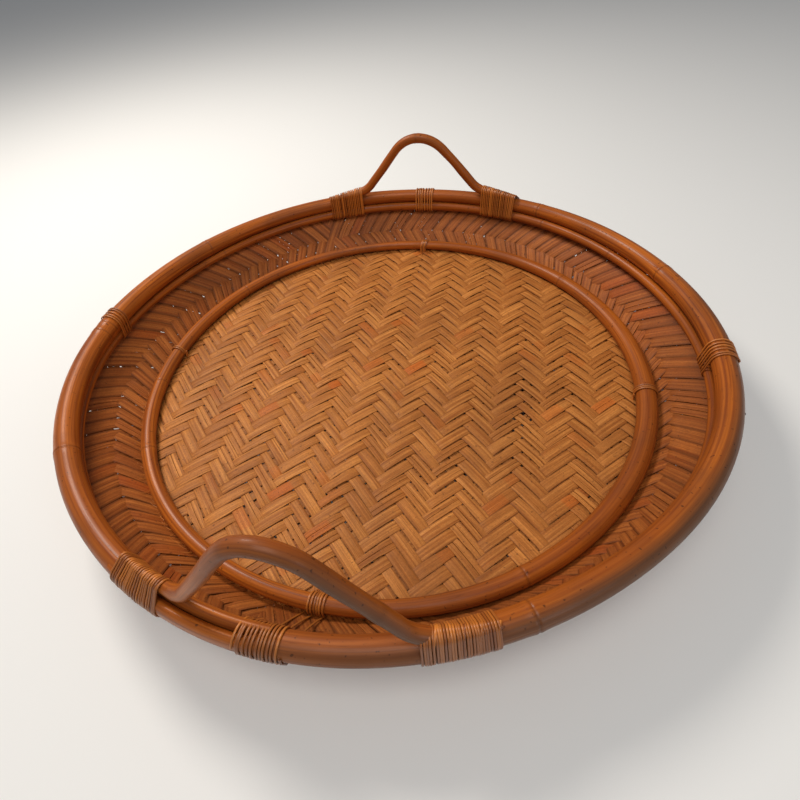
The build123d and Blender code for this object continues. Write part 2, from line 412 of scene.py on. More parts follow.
def rattan_material(name, light, deep, painted_shade):
    """Varnished rattan pole: long streaks, mottled patches, dark joint lines and painted shade on its outer
    side.
    """
    material, tree, shader, tone, place, fibres, age = start_material(name, 0.09, 0.20, 0.20)
    colour = mixed(tree, ramped(tree, fibres.outputs["Streaks"], 0.32, 0.66), light, deep)
    colour = tinted(tree, colour, age.outputs["Patches"], 0.5, deep)
    colour = tinted(tree, colour, age.outputs["Stains"], 0.38, (0.10, 0.032, 0.010, 1))
    # painted shade: where tone Z asks for it, the pole's outer side is darkened towards the shade colour,
    # standing in for the side turned away from the key light
    outer_side = ramped(tree, place.outputs["Y"], -1.5 * MM, 4.5 * MM)
    painted_outer_shade = math_node(tree, "MULTIPLY", tone.outputs["Z"], outer_side)
    colour = tinted(tree, colour, painted_outer_shade, 0.95, painted_shade)
    colour = tinted(tree, colour, tone.outputs["Y"], 0.34, (0.06, 0.018, 0.006, 1))
    colour = tinted(tree, colour, fibres.outputs["Flecks"], 0.35, (0.05, 0.016, 0.006, 1))
    colour = tinted(tree, colour, age.outputs["Specks"], 0.65, (0.025, 0.010, 0.005, 1))
    tree.links.new(colour, shader.inputs["Base Color"])
    rough = ramped(tree, age.outputs["Stains"], 0.0, 1.0, 0.36, 0.58)
    tree.links.new(rough, shader.inputs["Roughness"])
    bump(tree, shader, [(fibres.outputs["Streaks"], 0.9), (age.outputs["Patches"], 0.8)], 0.00030)
    return material


def cane_material(name, light, deep):
    """Thin peeled cane: glossy skin, each turn its own tone, fine lengthwise lines, painted shade along its
    edges and on the side a turn shows outward.
    """
    material, tree, shader, tone, place, fibres, age = start_material(name, 0.30, 0.28, 0.4)
    colour = mixed(tree, tone.outputs["X"], light, deep)
    colour = mixed(tree, ramped(tree, fibres.outputs["Streaks"], 0.42, 0.75, 0.0, 0.6), colour, deep)
    # painted shade along each strand's edges, between the turns
    edge = add_node(tree, "ShaderNodeMath", {0: place.outputs["Y"]}, operation="ABSOLUTE").outputs[0]
    edge = ramped(tree, edge, 0.55 * MM, 0.95 * MM, 0.0, 0.6)
    colour = mixed(tree, edge, colour, (0.09, 0.028, 0.008, 1))
    # painted shade from tone Z
    colour = tinted(tree, colour, tone.outputs["Z"], 0.8, (0.07, 0.022, 0.008, 1))
    colour = tinted(tree, colour, age.outputs["Stains"], 0.35, (0.10, 0.032, 0.010, 1))
    tree.links.new(colour, shader.inputs["Base Color"])
    rough = ramped(tree, fibres.outputs["Fibres"], 0.2, 0.8, 0.30, 0.52)
    tree.links.new(rough, shader.inputs["Roughness"])
    bump(tree, shader, [(fibres.outputs["Fibres"], 0.8)], 0.00020)
    return material


def nail_material():
    """Small darkened iron pin."""
    material, tree, shader = start_material("dark nail", 0.0, 0.3, 0.5)[:3]
    rust = noise(tree, tray_place(tree), 1500.0, 3.0)
    colour = mixed(tree, rust, (0.03, 0.022, 0.018, 1), (0.12, 0.045, 0.02, 1))
    tree.links.new(colour, shader.inputs["Base Color"])
    tree.links.new(ramped(tree, rust, 0.3, 0.7, 0.45, 0.8), shader.inputs["Roughness"])
    shader.inputs["Metallic"].default_value = 0.8
    bump(tree, shader, [(rust, 1.0)], 0.0001)
    return material


MAT_SPLIT = bamboo_material(
    "bamboo split, mat", (0.74, 0.290, 0.068, 1), (0.36, 0.108, 0.019, 1), (0.66, 0.125, 0.012, 1), 0.50)
BAND_SPLIT = bamboo_material(
    "bamboo split, wall", (0.60, 0.185, 0.036, 1), (0.27, 0.062, 0.011, 1), (0.44, 0.070, 0.007, 1), 0.52)
# the last rattan colour is the painted shade for the outer side of the poles
RATTAN = rattan_material(
    "rattan pole", (0.60, 0.163, 0.017, 1), (0.26, 0.056, 0.007, 1), (0.088, 0.045, 0.022, 1))
CANE = cane_material("cane strand", (0.80, 0.260, 0.035, 1), (0.24, 0.055, 0.008, 1))
NAIL = nail_material()


# ---------------------------------------------------------------- the rim's own shape
RIM_WAVES = ((-4.08, 2.06), (2.53, 0.16), (0.52, -0.22), (1.06, -0.21), (0.03, -0.70))


def rim_shift(angle):
    """How far the rim has settled out of round at an angle, in metres."""
    total = 1.56
    for number, (even, odd) in enumerate(RIM_WAVES, 1):
        total = total + even * np.cos(number * angle) + odd * np.sin(number * angle)
    return total * MM


def outer_thick(angles):
    """Rim pole radius: stout at the left and right, slimmer at the back."""
    return (7.65 - 0.2 * np.cos(angles) - 0.5 * np.sin(angles) + 0.55 * np.cos(2 * angles)) * MM


def inner_thick(angles):
    """Inner hoop radius: full at the back, thin at the front."""
    return INNER_POLE * (0.80 + 0.20 * np.sin(angles))


def rim_sections(angle):
    """The three hoops of the rim as (radius, height, pole radius)."""
    shift = float(rim_shift(angle))
    inner_reach = float(outer_thick(angle) + inner_thick(angle)) + 0.2 * MM
    way = math.radians(68 - 8 * math.cos(angle))
    return [
        (OUTER_RADIUS + shift, OUTER_Z, float(outer_thick(angle))),
        (OUTER_RADIUS + shift - inner_reach * math.cos(way), OUTER_Z - inner_reach * math.sin(way),
         float(inner_thick(angle))),
        (LOWER_RADIUS + shift, LOWER_Z, LOWER_POLE),
    ]


# ---------------------------------------------------------------- woven mat
def twill_side(index, place):
    """+1 where the lengthwise set lies over, -1 where under, with a smooth dive between floats."""
    period = 2 * FLOAT_CROSSINGS
    phase = (index - place + 0.5) % period
    over = phase < FLOAT_CROSSINGS
    within = np.where(over, phase, phase - FLOAT_CROSSINGS)
    to_dive = np.minimum(within, FLOAT_CROSSINGS - within) / 0.5
    reach = np.clip(to_dive, 0, 1)
    level = reach * (1.5 - 0.5 * reach**2)
    bow = np.sin(math.pi * within / FLOAT_CROSSINGS)
    return np.where(over, level, -level), np.where(over, bow, 0.0)


def ragged_reach(angle):
    """How far split ends run past the mat's edge: cut ragged at the front left."""
    away = abs(turn_from(angle, math.radians(213)))
    return 6.0 * MM * max(0.0, 1 - away / math.radians(38))


def mat_set(name, lengthwise, node):
    """One of the two crossed sets of splits."""
    strands = Strands()
    turn = MAT_TURN + (math.pi / 2 if lengthwise else 0.0)
    along_way = np.array([math.cos(turn), math.sin(turn), 0.0])
    side_way = np.array([math.sin(turn), -math.cos(turn), 0.0])
    if not lengthwise:
        side_way = -side_way
    count = int(MAT_RADIUS // SPLIT_PITCH)
    for index in range(-count, count + 1):
        split_random = np.random.default_rng(1000 + index + (500 if lengthwise else 0))
        offset = index * SPLIT_PITCH + split_random.uniform(-0.30, 0.30) * MM
        half = math.sqrt(max(MAT_RADIUS**2 - offset**2, (9 * MM)**2))
        ends = []
        for way in (-1, 1):
            end_point = along_way * half * way + side_way * offset
            ragged = ragged_reach(math.atan2(end_point[1], end_point[0]))
            ends.append(half + ragged * split_random.uniform(0.3, 1.0))
        number = max(8, int((ends[0] + ends[1]) / (2.2 * MM)))
        place = np.linspace(-ends[0], ends[1], number)
        crossing = place / SPLIT_PITCH
        if lengthwise:
            side, bow = twill_side(index, crossing)
        else:
            side, bow = twill_side(crossing, index)
            side = -side
            within = ((crossing - index + 0.5) % (2 * FLOAT_CROSSINGS)) % FLOAT_CROSSINGS
            bow = np.where(side > 0, np.sin(math.pi * within / FLOAT_CROSSINGS), 0.0)
        level = (SPLIT_THICK / 2 + 0.14 * MM) * side + bow * split_random.uniform(0.15, 0.6) * MM
        wander = 0.28 * MM * smooth_noise(place, 40 + index, 7.0)
        height = MAT_Z + level + 0.10 * MM * smooth_noise(place, 90 + index, 30.0)
        path = along_way * place[:, None] + side_way * (offset + wander)[:, None]
        path[:, 2] = height
        radius = np.hypot(path[:, 0], path[:, 1])
        path[:, 2] += np.maximum(radius - 207.5 * MM, 0) * 1.15
        near_ring = np.clip((radius - 190 * MM) / (10 * MM), 0, 1)
        path[:, 2] = np.minimum(path[:, 2], MAT_Z + (1.0 - 0.45 * near_ring) * MM)
        lean = 0.030 * smooth_noise(place, 300 + index, 18.0, 1) + (0.030 if lengthwise else -0.012)
        up = np.tile(np.array([0.0, 0.0, 1.0]), (number, 1)) + side_way * lean[:, None]
        uneven = split_random.choice([0.1, 0.0, -0.3, -1.2], p=[0.35, 0.3, 0.23, 0.12])
        width = (8.66 + uneven + 0.22 * smooth_noise(place, 7 + index, 16.0)) * MM
        base_tone = split_random.beta(1.6, 2.4)
        across_index = index - crossing if lengthwise else crossing - index
        float_number = np.floor(across_index / FLOAT_CROSSINGS + 0.5)
        seeds = [int(number_of) * 97 + index * 13 + 20000 for number_of in float_number]
        per_float = np.array([np.random.default_rng(seed).random() for seed in seeds])
        red = np.clip((per_float - 0.93) * 12, 0, 1) * (0.9 if not lengthwise else 0.45)
        gap = np.convolve(np.where((per_float * 7.3) % 1 > 0.84, 1.5 * MM, 0.0), [0.25, 0.5, 0.25], "same")
        width = width - gap
        tone_x = np.clip(base_tone + 0.3 * (per_float - 0.5), 0, 1)
        # tone Z: painted shade where this split passes under the other set
        under = np.clip(-side, 0, 1) * 0.35
        tone = np.stack([tone_x, red, under], 1)
        parts = 2 if split_random.random() < 0.14 else 1
        for part in range(parts):
            share = width / parts
            shift = (part - (parts - 1) / 2) * share
            slit = 0.30 * MM if parts > 1 else 0.0
            piece_path = path + side_way * shift[:, None]
            strands.add(piece_path, up, SPLIT_SECTION, share - slit, SPLIT_THICK, tone)
    return strands.make(name, MAT_SPLIT, [node])


# ---------------------------------------------------------------- woven wall band
BAND_PROFILE = np.array([
    (200.5 * MM, FLANGE_Z),
    (207.0 * MM, FLANGE_Z),
    (211.5 * MM, FLANGE_Z + 2.6 * MM),
    (220.0 * MM, FLANGE_Z + 10.6 * MM),
    (231.0 * MM, FLANGE_Z + 20.6 * MM),
    (242.0 * MM, OUTER_Z - 17.0 * MM),
    (243.0 * MM, OUTER_Z - 13.0 * MM),
    (243.2 * MM, OUTER_Z - 7.9 * MM),
])
BAND_STEPS = np.concatenate([[0], np.cumsum(np.linalg.norm(np.diff(BAND_PROFILE, axis=0), axis=1))])
BAND_LENGTH = BAND_STEPS[-1]
BAND_MIDDLE = BAND_STEPS[2] + 0.44 * (BAND_STEPS[5] - BAND_STEPS[2])
BAND_LEAN = 0.65
FLIP_BACK = math.radians(118)
FLIP_FRONT = math.radians(262)


def band_point(slant, angle):
    """Point, outward-slope direction and inward normal of the band at a slant distance and angle."""
    radius = np.interp(slant, BAND_STEPS, BAND_PROFILE[:, 0])
    radius = radius + rim_shift(angle) * np.clip((slant - BAND_STEPS[1]) / (30 * MM), 0, 1)
    height = np.interp(slant, BAND_STEPS, BAND_PROFILE[:, 1])
    step = 0.8 * MM
    radii, heights = BAND_PROFILE[:, 0], BAND_PROFILE[:, 1]
    rise = np.interp(slant + step, BAND_STEPS, heights) - np.interp(slant - step, BAND_STEPS, heights)
    run = np.interp(slant + step, BAND_STEPS, radii) - np.interp(slant - step, BAND_STEPS, radii)
    size = np.hypot(rise, run)
    outward = np.stack([np.cos(angle), np.sin(angle), np.zeros_like(angle)], -1)
    normal = outward * (-rise / size)[..., None]
    normal[..., 2] = run / size
    point = outward * radius[..., None]
    point[..., 2] = height
    return point, normal


def chevron_place(angle):
    """Slant distance of the herringbone's turning line: nearer the floor at the right."""
    away = turn_from(angle, math.radians(-5))
    return BAND_MIDDLE - 7.0 * MM * np.exp(-((away / math.radians(42))**2))


def flipped(angle):
    """1 on the left side, where the herringbone points the other way, else 0."""
    turn = angle % FULL
    edge = 2.5 / 232
    return 1 / (1 + np.exp(-(turn - FLIP_BACK) / edge)) * 1 / (1 + np.exp((turn - FLIP_FRONT) / edge))


def band_set(name, leaning, replaced):
    """One of the two crossed sets of slanting wall splits. leaning is +1 or -1."""
    strands = Strands()
    number = 40
    slant = np.linspace(0, BAND_LENGTH, number)
    for index in range(BAND_PITCH_COUNT):
        split_random = np.random.default_rng(3000 + index + (400 if leaning > 0 else 0))
        start = (index + split_random.uniform(-0.06, 0.06)) * FULL / BAND_PITCH_COUNT
        angle = start + leaning * BAND_LEAN * (slant - BAND_MIDDLE) / (224 * MM)
        point, normal = band_point(slant, angle)
        inner_over = leaning * (1 - 2 * flipped(angle))
        turning = chevron_place(angle) + split_random.uniform(-0.8, 0.8) * MM
        zone = np.clip((turning - slant) / (3.0 * MM), -1, 1)
        level = inner_over * zone
        bow = 0.30 * MM * np.clip(level, 0, 1) * np.abs(np.sin(math.pi * (slant - BAND_MIDDLE) / (20 * MM)))
        path = point + normal * (level * 0.47 * MM + bow)[:, None]
        lean = 0.05 * split_random.uniform(-1, 1)
        swing = np.stack([-np.sin(angle), np.cos(angle), np.zeros(number)], 1)
        up = normal + swing * lean
        radius = np.hypot(point[:, 0], point[:, 1])
        pitch = FULL * radius / BAND_PITCH_COUNT / math.hypot(1, BAND_LEAN)
        narrower = split_random.choice([0.0, 0.1, 0.4, 1.3], p=[0.45, 0.3, 0.17, 0.08])
        width = np.minimum(pitch * 0.99, 10.9 * MM) - narrower * MM
        tone_x = split_random.beta(1.7, 2.0)
        red = max(0.0, split_random.random() - 0.86) * 5
        # tone Z: painted shade where this split passes under the other set
        under = np.clip(-level, 0, 1) * 0.3
        tone = np.stack([np.full(number, tone_x), np.full(number, red), under], 1)
        parts = 2 if split_random.random() < 0.22 else 1
        direction = unit(np.gradient(path, axis=0))
        sideways = unit(np.cross(up, direction))
        for part in range(parts):
            share = width / parts
            shift = (part - (parts - 1) / 2) * share
            slit = 0.35 * MM if parts > 1 else 0.0
            part_path = path + sideways * shift[:, None]
            strands.add(part_path, up, SPLIT_SECTION, share - slit, BAND_SPLIT_THICK, tone)
    return strands.make(name, BAND_SPLIT, replaced)


# ---------------------------------------------------------------- rattan poles
def joint_offsets():
    """Distances from a joint at which extra rings are put, so that its ridge is a real shape."""
    return np.array([-5.0, -3.0, -1.8, -1.1, -0.55, 0.0, 0.55, 1.1, 1.8, 3.0, 5.0]) * MM


def joint_shape(distance):
    """Swelling and groove of a rattan joint, and how dark its line is."""
    ridge, groove = np.exp(-((distance / (3.4 * MM))**2)), np.exp(-((distance / (0.7 * MM))**2))
    swell = 0.05 * ridge - 0.05 * groove
    return swell, np.exp(-((distance / (0.8 * MM))**2))


def joint_profile(angles, joints, radius):
    """Swelling and darkness of all the joints of a pole, by angle."""
    swell = np.zeros_like(angles)
    dark = np.zeros_like(angles)
    for joint in joints:
        away = turn_from(angles, math.radians(joint)) * radius
        bump_height, line = joint_shape(away)
        swell += bump_height
        dark = np.maximum(dark, line)
    return swell, dark


def hoop_piece(name, radius_of, height_of, thick_of, joints, seed, painted_shade_side, lowest=None):
    """A pole bent to a full circle. The three functions give radius, height and pole radius by angle."""
    angles = np.arange(0, FULL, FULL / HOOP_STEPS)
    for joint in joints:
        angles = np.concatenate([angles, math.radians(joint) + joint_offsets() / RING_RADIUS])
    angles = np.unique(np.round(angles % FULL, 6))
    swell, dark = joint_profile(angles, joints, RING_RADIUS)
    pole = thick_of(angles) * (1 + swell + 0.02 * np.sin(angles * 7 + seed) * np.sin(angles * 3 + 2 * seed))
    circle = radius_of(angles) + 0.25 * MM * np.sin(angles * 5 + 2 * seed)
    outward = outward_ways(angles)
    path = outward * circle[:, None]
    path[:, 2] = height_of(angles) + 0.2 * MM * np.sin(angles * 3 + 1.7 * seed)
    # tone Z carries the painted shade for the pole's outer side
    tone = np.stack([np.full_like(angles, 0.5), dark, painted_shade_side(angles)], 1)
    strands = Strands()
    strands.add(path, (0, 0, 1), round_section(24), pole * 2, pole * 2, tone, closed=True, across=outward)
    if lowest is not None:
        points = strands.points[0]
        turn = np.arctan2(points[:, 1], points[:, 0])
        points[:, 2] = np.maximum(points[:, 2], lowest(turn))
    return strands.make(name, RATTAN, [name], sharp=50)


def rim_pole_piece():
    """The stout rim pole: its two ends are cut to halves and overlap between two wraps at the front left."""
    start, end = math.radians(-116.5), math.radians(268.5)
    joints = (24, 60, 151, 184, 186.5, 218, 300)
    angles = np.arange(start, end, FULL / HOOP_STEPS)
    for joint in joints:
        near = math.radians(joint)
        near = near + FULL if near < start else near
        near = near - FULL if near > end else near
        angles = np.concatenate([angles, near + joint_offsets() / OUTER_RADIUS])
    angles = np.unique(np.round(np.append(angles, end), 6))
    swell, dark = joint_profile(angles, joints, OUTER_RADIUS)
    pole = outer_thick(angles) * (1 + swell + 0.02 * np.sin(angles * 7) * np.sin(angles * 3 + 2))
    first = np.clip((math.radians(-90.5) - angles) / math.radians(4.5), 0, 1)
    last = np.clip((angles - math.radians(244.0)) / math.radians(5), 0, 1)
    ease_first = first * first * (3 - 2 * first)
    ease_last = last * last * (3 - 2 * last)
    half = np.maximum(ease_first, ease_last)
    across_size = pole * 2 * (1 - 0.49 * half)
    sideways = pole * 0.51 * (ease_first - ease_last)
    outward = outward_ways(angles)
    path = outward * (OUTER_RADIUS + rim_shift(angles) + sideways)[:, None]
    path[:, 2] = OUTER_Z + 0.3 * MM * np.sin(angles * 3 + 1) - 1.2 * MM * ease_first
    # the front and right stretch of the rim pole gets painted shade on its outer side
    tone = np.stack([np.full_like(angles, 0.5), dark, front_painted_shade(angles)], 1)
    strands = Strands()
    strands.add(path, (0, 0, 1), round_section(24), across_size, pole * 2, tone, across=outward)
    return strands.make("rim_outer_hoop", RATTAN, ["rim_outer_hoop"], sharp=50)


def no_painted_shade(angles):
    """A pole with no painted shade on any side."""
    return np.zeros_like(angles)


def front_painted_shade(angles):
    """Painted shade on the stretch of rim that faces the front and the right, the side turned from the key
    light.
    """
    away = turn_from(angles, math.radians(-40))
    return 0.85 * np.exp(-((away / math.radians(72))**2))


def lower_thick(angles):
    """Thin clamping hoop radius."""
    return LOWER_POLE * np.ones_like(angles)


def ring_thick(angles):
    """Floor ring radius: thick at the right, thin at the back."""
    return RING_POLE * (0.96 + 0.13 * np.cos(angles) - 0.06 * np.sin(angles) + 0.14 * np.cos(2 * angles))


def base_thick(angles):
    """Base hoop radius."""
    return BASE_POLE * np.ones_like(angles)


RING_LASHINGS = {"front": (-90.0, 6), "right": (-1.5, 3), "back": (90.0, 4), "left": (180.0, 2)}


def base_underside(turn):
    """Height of the planed underside of the base hoop, raised where a lashing passes."""
    lowest = np.zeros_like(turn)
    for angle, turns in RING_LASHINGS.values():
        away = np.abs(turn_from(turn, math.radians(angle))) * RING_RADIUS
        lowest = np.where(away < (turns + 1) * 0.95 * MM + 1.0 * MM, NOTCH_HEIGHT, lowest)
    return lowest


# ---------------------------------------------------------------- handles
def rounded_route(corners, radii, step):
    """Points along straight runs joined by tangent arcs, at even steps."""
    corners = [np.array(corner, float) for corner in corners]
    points = [corners[0]]
    start = corners[0]
    for before, corner, after, radius in zip(corners, corners[1:], corners[2:], radii):
        arrive = unit(corner - before)
        leave = unit(after - corner)
        half_turn = math.acos(np.clip(np.dot(arrive, leave), -1, 1)) / 2
        reach = radius * math.tan(half_turn)
        arc_start = corner - arrive * reach
        inward = unit(leave - arrive)
        centre = corner + inward * radius / math.cos(half_turn)
        first = arc_start - centre
        normal_way = unit(np.cross(first, arrive))
        runs = max(2, int(np.linalg.norm(arc_start - start) / step))
        points.extend(start + (arc_start - start) * k / runs for k in range(1, runs + 1))
        bends = max(6, int(2 * half_turn * radius / step))
        for k in range(1, bends + 1):
            turn = 2 * half_turn * k / bends
            points.append(centre + first * math.cos(turn) + np.cross(normal_way, first) * math.sin(turn))
        start = points[-1]
    runs = max(2, int(np.linalg.norm(corners[-1] - start) / step))
    points.extend(start + (corners[-1] - start) * k / runs for k in range(1, runs + 1))
    return np.array(points)


def handle_route(apex, slope, crown, flare, turn):
    """Centre line of a handle."""
    foot_turn = math.radians(FOOT_ANGLE)
    end_turn = math.radians(ROD_END_ANGLE)
    foot = (FOOT_RADIUS * math.sin(foot_turn), FOOT_RADIUS * math.cos(foot_turn), FOOT_Z)
    end = (FOOT_RADIUS * math.sin(end_turn), FOOT_RADIUS * math.cos(end_turn), FOOT_Z)
    meet = (0.0, apex * MM, FOOT_Z + foot[0] * math.tan(math.radians(slope)))
    mirror = [(-x, y, z) for x, y, z in (foot, end)]
    route = rounded_route([end, foot, meet] + mirror, [flare * MM, crown * MM, flare * MM], 1.6 * MM)
    cosine, sine = math.cos(math.radians(turn)), math.sin(math.radians(turn))
    return route @ np.array([[cosine, sine, 0], [-sine, cosine, 0], [0, 0, 1]])


def handle_piece(name, joints, painted_shade, seed):
    """A bent rod, its ends tapered under the wraps. joints are distances from the crown."""
    path = handle_route(**HANDLE_SHAPES[name])
    steps = np.concatenate([[0], np.cumsum(np.linalg.norm(np.diff(path, axis=0), axis=1))])
    total = steps[-1]
    from_crown = steps - total / 2
    to_end = np.minimum(steps, total - steps)
    free = np.clip((to_end - 50 * MM) / (25 * MM), 0, 1)
    path[:, 0] += 0.7 * MM * smooth_noise(steps, seed, 9.0) * free
    path[:, 2] += 0.6 * MM * smooth_noise(steps, seed + 1, 12.0) * free
    radius = ROD_RADIUS * (1 + 0.04 * smooth_noise(steps, seed + 2, 14.0))
    taper = np.clip(to_end / (38 * MM), 0, 1)
    radius = radius * (0.42 + THIN_SHARE * taper)
    path[:, 2] -= THIN_SHARE * ROD_RADIUS * (1 - taper)
    dark = np.zeros_like(steps)
    for joint in joints:
        swell, line = joint_shape(from_crown - joint)
        radius = radius * (1 + 1.2 * swell)
        dark = np.maximum(dark, line)
    tangent = unit(np.gradient(path, axis=0))
    middle = path[len(path) // 2]
    outward = unit(np.array([middle[0], middle[1], 0.0]))
    across = unit(outward - tangent * (tangent @ outward)[:, None])
    up = unit(np.cross(tangent, across))
    # painted shade on the handle's outer side, stronger towards one end of the rod
    outer_shade_share = painted_shade * (0.66 + 0.34 * np.tanh(from_crown / (30 * MM)))
    tone = np.stack([np.full_like(steps, 0.5), dark, outer_shade_share], 1)
    strands = Strands()
    strands.add(path, up, round_section(20), radius * 2, radius * 2, tone, across=across)
    return strands.make(name, RATTAN, [name], sharp=50)


# ---------------------------------------------------------------- cane lashings
def hull_point(circles, turn, clear):
    """Where a taut strand touches a bundle of round sections, for a direction in the (outward, up) plane."""
    way = np.array([math.cos(turn), math.sin(turn)])
    reaches = [centre_r * way[0] + centre_z * way[1] + pole for centre_r, centre_z, pole in circles]
    centre_r, centre_z, pole = circles[int(np.argmax(reaches))]
    return centre_r + (pole + clear) * way[0], centre_z + (pole + clear) * way[1], way


def wind(strands, circles_at, middle, turns, pitch, width, seed,
         start_turn=0.0, loose=0.25, crossed=0.0, outward_shade=0.2):
    """One strand wound round a bundle. circles_at gives the bundle's sections by angle in radians."""
    wind_random = np.random.default_rng(seed)
    total = int(turns * TURN_STEPS)
    jitter = wind_random.normal(0, 1, int(turns) + 2)
    lifts = np.abs(wind_random.normal(0, 1, int(turns) + 2))
    shades = np.clip(wind_random.beta(1.4, 1.8, int(turns) + 2), 0, 1)
    points = []
    ups = []
    tones = []
    for k in range(total + 1):
        turn_number = k / TURN_STEPS
        whole = int(turn_number)
        part = turn_number - whole
        wobble = jitter[whole] * (1 - part) + jitter[whole + 1] * part
        lift = lifts[whole] * (1 - part) + lifts[whole + 1] * part
        place = (turn_number - turns / 2) * pitch + wobble * loose * pitch
        place += crossed * pitch * math.sin(FULL * part)
        angle = middle + place / OUTER_RADIUS
        clear = CANE_THICK / 2 + 0.12 * MM + 0.16 * MM * lift
        r, z, way = hull_point(circles_at(angle), start_turn + FULL * part, clear)
        points.append((r * math.cos(angle), r * math.sin(angle), z))
        ups.append((way[0] * math.cos(angle), way[0] * math.sin(angle), way[1]))
        shade = shades[whole] * (1 - part) + shades[whole + 1] * part
        # tone X is each turn's own tone; tone Z is painted shade, a little all round and most where the turn
        # faces outward
        tones.append((shade, 0.0, outward_shade * max(0.0, 0.25 + 0.75 * way[0])))
    strands.add(points, np.array(ups), CANE_SECTION, width, CANE_THICK, tones)


def handle_bundle(angle):
    """The rim hoops with a handle's rod end on them, tapering away from the handle."""
    turn = HANDLE_SHAPES["handle_back"]["turn"]
    away = abs((math.degrees(angle) - 90 - turn + 90) % 180 - 90)
    share = min(max((away - TAPER_START_ANGLE) / (ROD_END_ANGLE - TAPER_START_ANGLE), 0.0), 1.0)
    rod = ROD_RADIUS * (1.0 - THIN_SHARE * share)
    return rim_sections(angle) + [(FOOT_RADIUS, FOOT_Z - THIN_SHARE * ROD_RADIUS * share, rod)]


def ring_bundle(angle):
    """The floor ring and the base hoop below it."""
    corner = 1.5 * MM
    low = NOTCH_HEIGHT + corner + 0.1 * MM
    return [
        (RING_RADIUS, RING_Z, float(ring_thick(angle))),
        (RING_RADIUS - BASE_POLE + corner, low, corner),
        (RING_RADIUS + BASE_POLE - corner, low, corner),
    ]


def whisker(strands, start, way, length, curl, width, seed):
    """A loose cane or fibre end that curves away and thins out."""
    whisker_random = np.random.default_rng(seed)
    number = 12
    step = np.linspace(0, 1, number)
    way = unit(np.array(way, float))
    side = unit(np.cross(way, np.array([0.0, 0.0, 1.0])) + 1e-6)
    bend = side * curl * whisker_random.uniform(0.6, 1.2)
    straight = way[None] * (step * length)[:, None]
    path = np.array(start)[None] + straight + bend[None] * (step**2 * length)[:, None]
    path[:, 2] += whisker_random.uniform(-0.1, 0.25) * length * step**2
    thin = width * (1 - 0.65 * step)
    tone = (whisker_random.uniform(0.1, 0.6), 0.0, 0.0)
    strands.add(path, (0.05, 0.0, 1.0), CANE_SECTION, thin, np.minimum(thin * 0.6, CANE_THICK * 0.8), tone)


RIM_WRAPS = {
    "front": (-92.5, 12, 2.15), "right": (-0.5, 6, 3.0), "back": (91.0, 8, 2.6), "left": (181.5, 5, 3.0),
}
HANDLE_WRAPS = {
    "front_left": (-110.9, 20, 1.9), "front_right": (-69.1, 27, 1.45),
    "back_left": (112.1, 19, 2.0), "back_right": (70.7, 20, 1.9),
}


def rim_wrap(side):
    """Short wrap round the rim hoops."""
    angle, turns, pitch = RIM_WRAPS[side]
    # painted shade level: heavier on the front wrap
    outward_shade = 0.75 if side == "front" else 0.25
    strands = Strands()
    seed = 700 + sum(map(ord, side))
    wind(strands, rim_sections, math.radians(angle), turns, pitch * MM, 1.4 * MM, seed, 0.4, 0.2, 0.12, outward_shade)
    if side == "front":
        loose_tails(strands)
    return strands.make(f"rim_wrap_{side}", CANE, [f"rim_wrap_{side}"])


def loose_tails(strands):
    """Three strands that run from the front rim wrap over the wall to the ring lashing."""
    for number, (from_angle, to_angle) in enumerate(((-95.0, -92.4), (-93.2, -90.6), (-90.6, -88.6))):
        step = np.linspace(0, 1, 22)
        angle = np.radians(from_angle + (to_angle - from_angle) * step)
        slant = (BAND_STEPS[5] + 1.0 * MM) * (1 - step) + (BAND_STEPS[2] - 1.5 * MM) * step
        point, normal = band_point(slant, angle)
        lift = 1.1 * MM + 2.4 * MM * np.sin(math.pi * step) * (0.4 + 0.3 * number)
        path = point + normal * lift[:, None]
        strands.add(path, normal, CANE_SECTION, 1.4 * MM, 0.8 * MM, (0.45, 0.0, 0.15))


def handle_wrap(side):
    """Dense wrap that holds a handle's rod end on the rim."""
    angle, turns, pitch = HANDLE_WRAPS[side]
    # painted shade level: heavier on the front wraps
    outward_shade = 0.75 if side.startswith("front") else 0.3
    strands = Strands()
    seed = 800 + sum(map(ord, side))
    wind(strands, handle_bundle, math.radians(angle), turns, pitch * MM,
         1.35 * MM, seed, -0.6, 0.16, 0.08, outward_shade)
    wind(strands, handle_bundle, math.radians(angle) + 0.3 * pitch * MM, 5, turns * pitch * MM / 5.2,
         1.2 * MM, seed + 1, 2.0, 0.12, 0.0, outward_shade)
    return strands.make(f"handle_wrap_{side}", CANE, [f"handle_wrap_{side}"])


def ring_lashing(side):
    """Lashing that ties the floor ring down through the mat."""
    angle, turns = RING_LASHINGS[side]
    strands = Strands()
    seed = 900 + sum(map(ord, side))
    crossed = 0.9 if side == "back" else 0.12
    pitch = 2.25 * MM if side == "front" else 2.0 * MM
    wind(strands, ring_bundle, math.radians(angle), turns, pitch, 1.55 * MM, seed, math.pi, 0.16, crossed)
    lash_random = np.random.default_rng(seed + 5)
    outward, swing = compass(math.radians(angle))
    inward = -outward
    count = {"front": 9, "right": 7, "back": 3, "left": 2}[side]
    outside = side == "right"
    for number in range(count):
        reach = RING_RADIUS + (RING_POLE + 0.8 * MM) * (1 if outside else -1)
        start = -inward * reach + swing * lash_random.uniform(-6, 6) * MM
        start[2] = MAT_Z + lash_random.uniform(0.8, 2.4) * MM
        way = inward * (-1 if outside else 1) + swing * lash_random.uniform(-1.4, 1.4)
        way = way + np.array([0, 0, 0.45])
        length = lash_random.uniform(4, 10) * MM
        whisker(strands, start, way, length, 0.5, lash_random.uniform(0.4, 1.1) * MM, seed + 20 + number)
    return strands.make(f"ring_lashing_{side}", CANE, [f"ring_lashing_{side}"])


